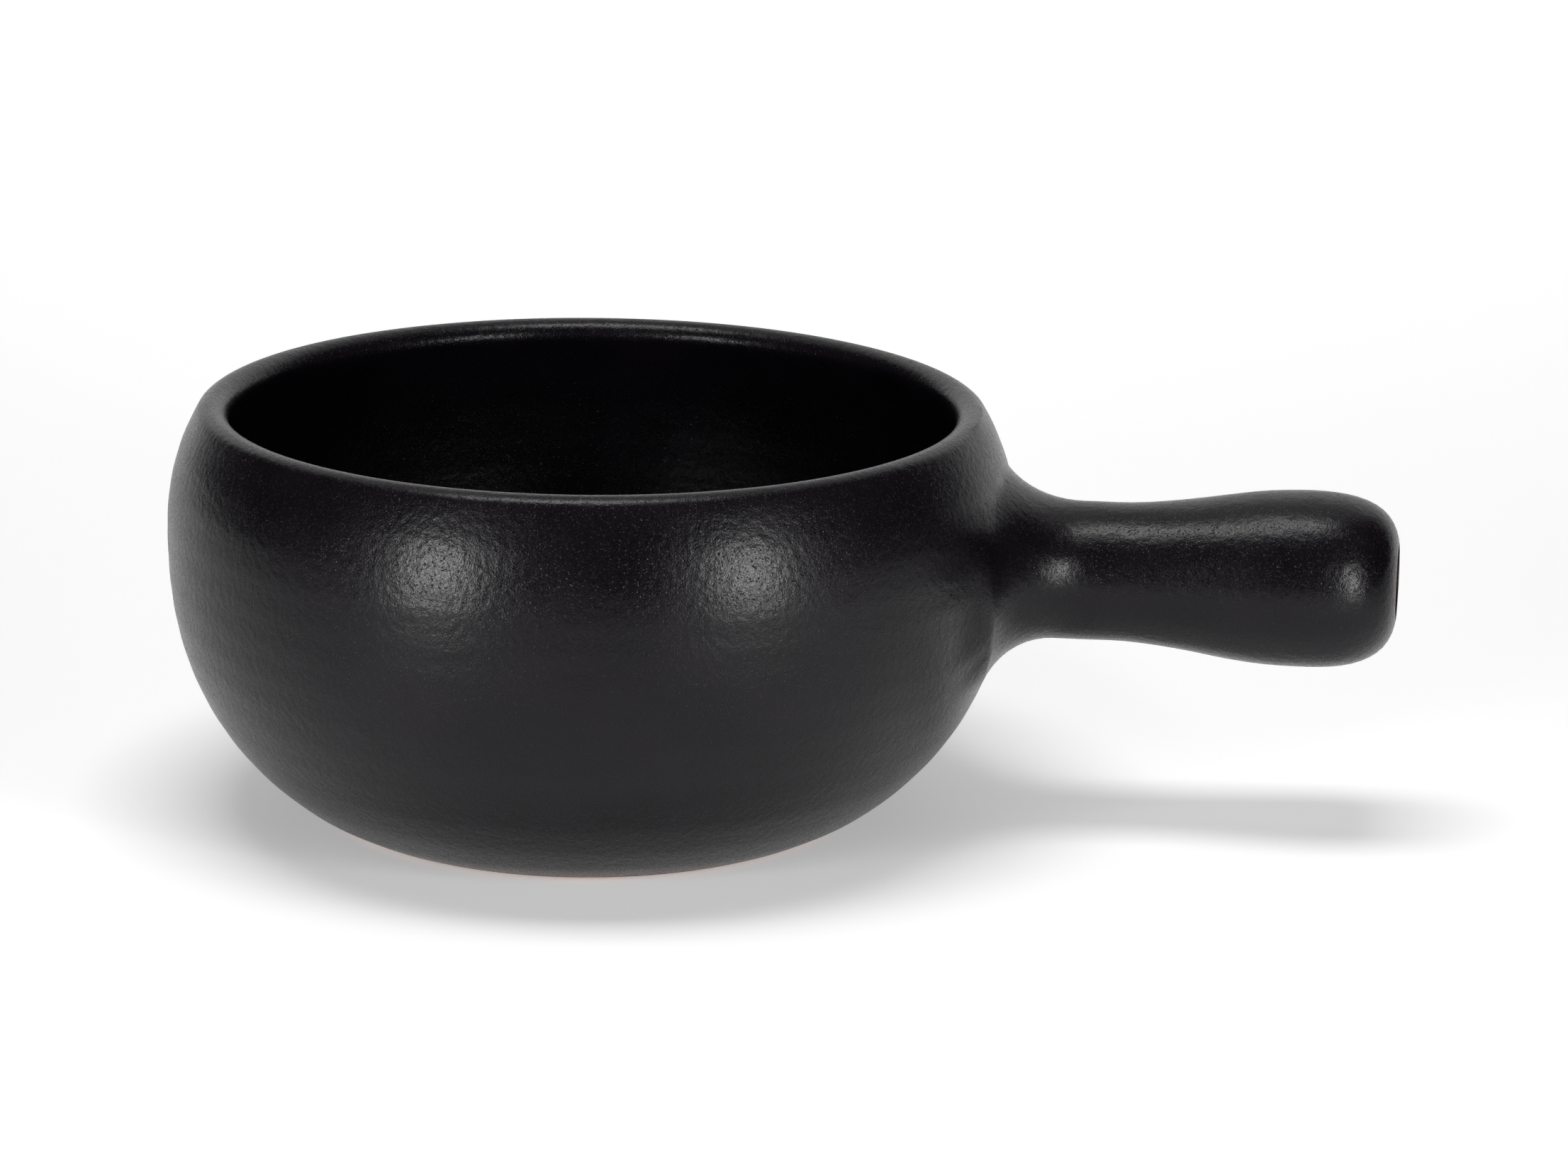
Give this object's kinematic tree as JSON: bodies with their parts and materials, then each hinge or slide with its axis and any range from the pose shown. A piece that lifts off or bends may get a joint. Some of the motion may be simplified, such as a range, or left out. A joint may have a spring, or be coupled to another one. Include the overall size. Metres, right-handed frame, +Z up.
{
  "type": "fondue pot",
  "caption": "Round earthenware fondue pot with a drawn-in rim, a hollow side handle and black satin glaze, for melting and serving cheese.",
  "frame": {"origin": "centre of the bowl's flat foot, on the table", "axes": "+Z up along the bowl's axis, +X along the handle away from the bowl, +Y to the left of the handle seen from above"},
  "size_m": [0.3201, 0.22, 0.1076],
  "materials": {
    "clay": "bare fired red earthenware",
    "slip": "fired slip, hidden in the joint",
    "inner_glaze": "black satin glaze",
    "outer_glaze": "black satin glaze"
  },
  "bodies": {
    "root": {"bowl": "clay", "handle": "clay", "root_collar": "clay", "joining_slip": "slip", "inner_glaze": "inner_glaze", "outer_glaze": "outer_glaze"}
  },
  "joints": []
}
